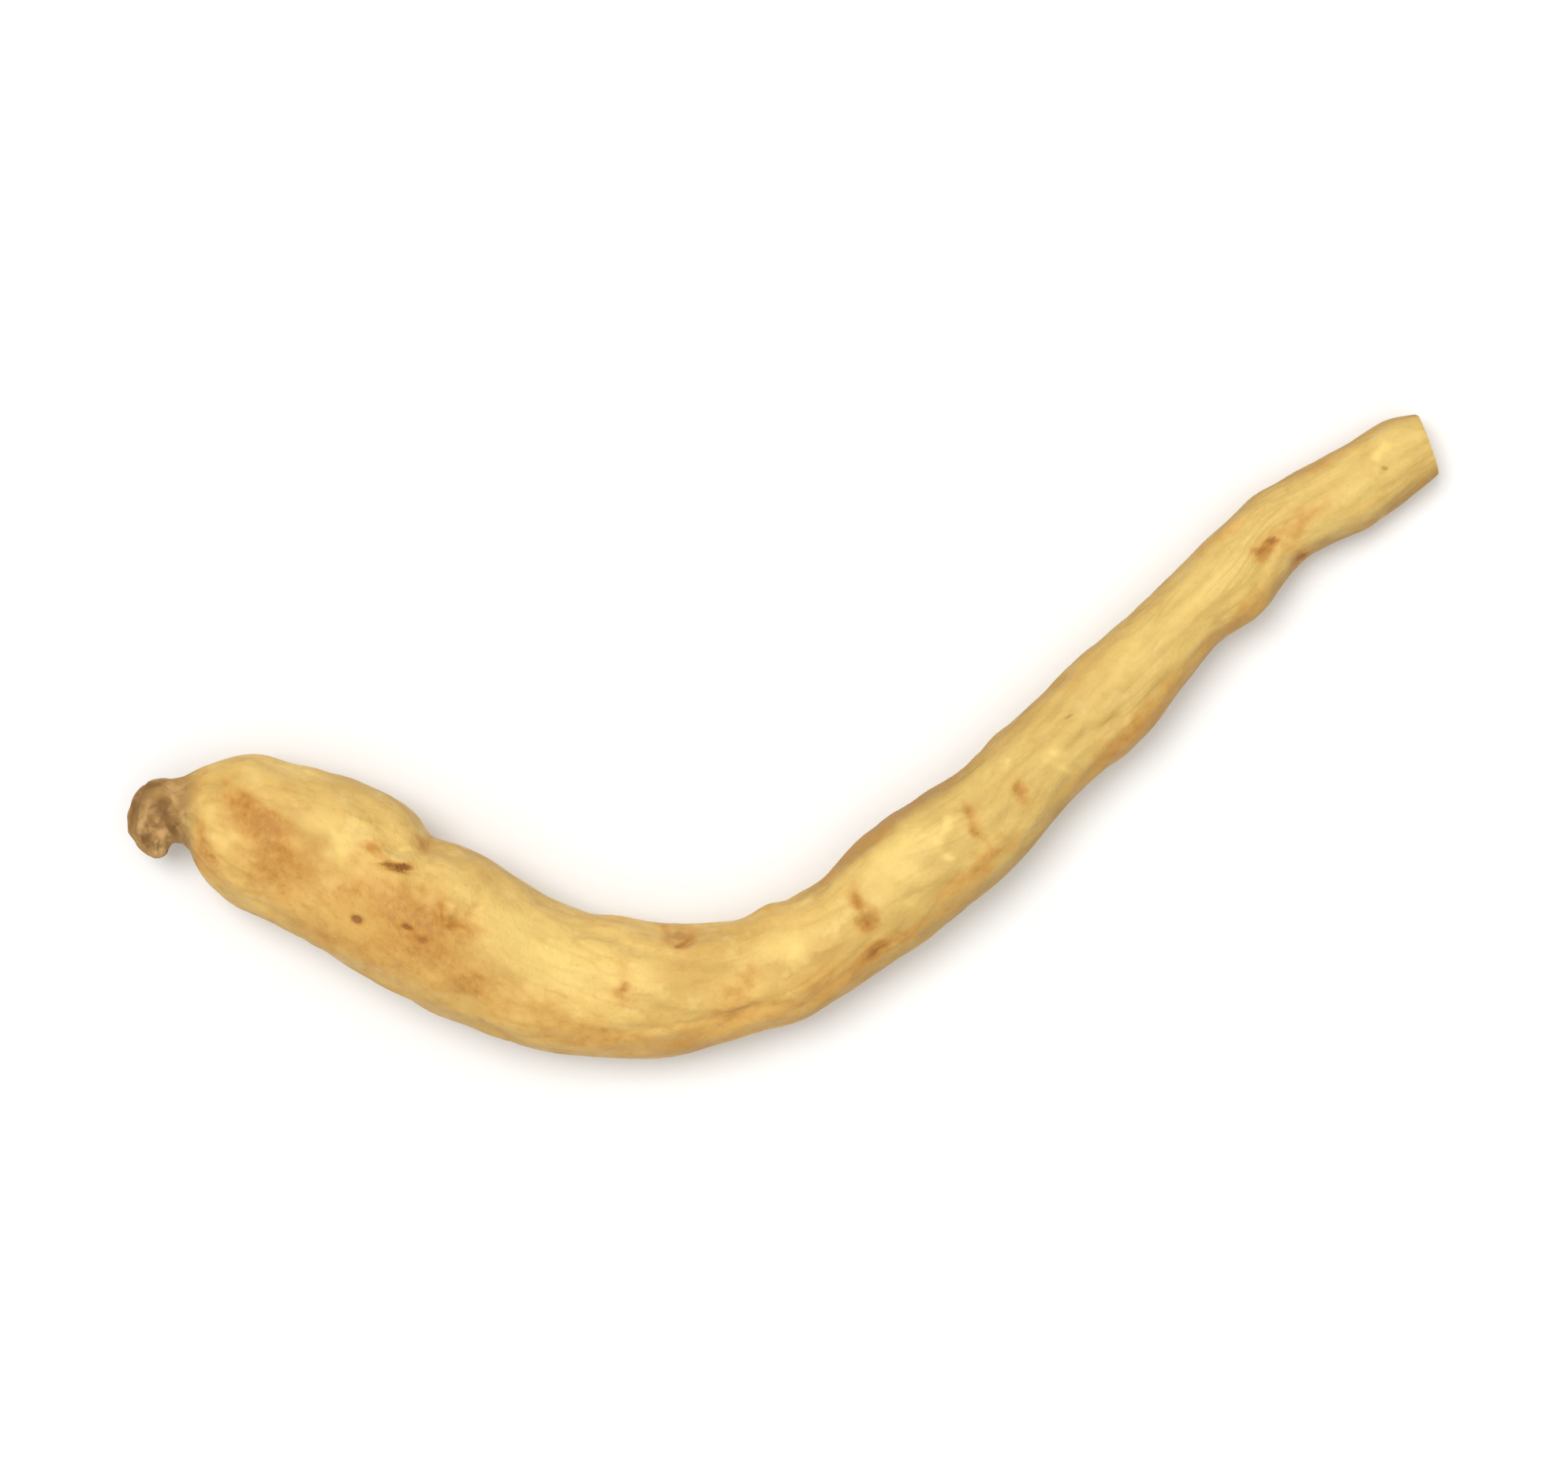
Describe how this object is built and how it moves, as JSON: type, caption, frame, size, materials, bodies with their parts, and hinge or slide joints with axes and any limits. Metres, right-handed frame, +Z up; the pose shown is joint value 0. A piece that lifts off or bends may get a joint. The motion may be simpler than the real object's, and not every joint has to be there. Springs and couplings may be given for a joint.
{
  "type": "pseudostellaria root",
  "caption": "Dried bent tuberous root with a swollen body, a hooked stem stub at its crown and a slim tail cut off at its end.",
  "frame": {"origin": "middle of the bounding box in plan, at the height of the surface that the root lies on", "axes": "+X from the stem stub towards the cut tail, +Z up, away from the surface that it lies on"},
  "size_m": [0.0394, 0.0194, 0.005],
  "materials": {
    "dried_root_skin": "pale yellow dried root skin, half matt and slightly waxy, with brown blotches, scars and a brown woody stub"
  },
  "bodies": {
    "root": {"pseudostellaria_root": "dried_root_skin"}
  },
  "joints": []
}
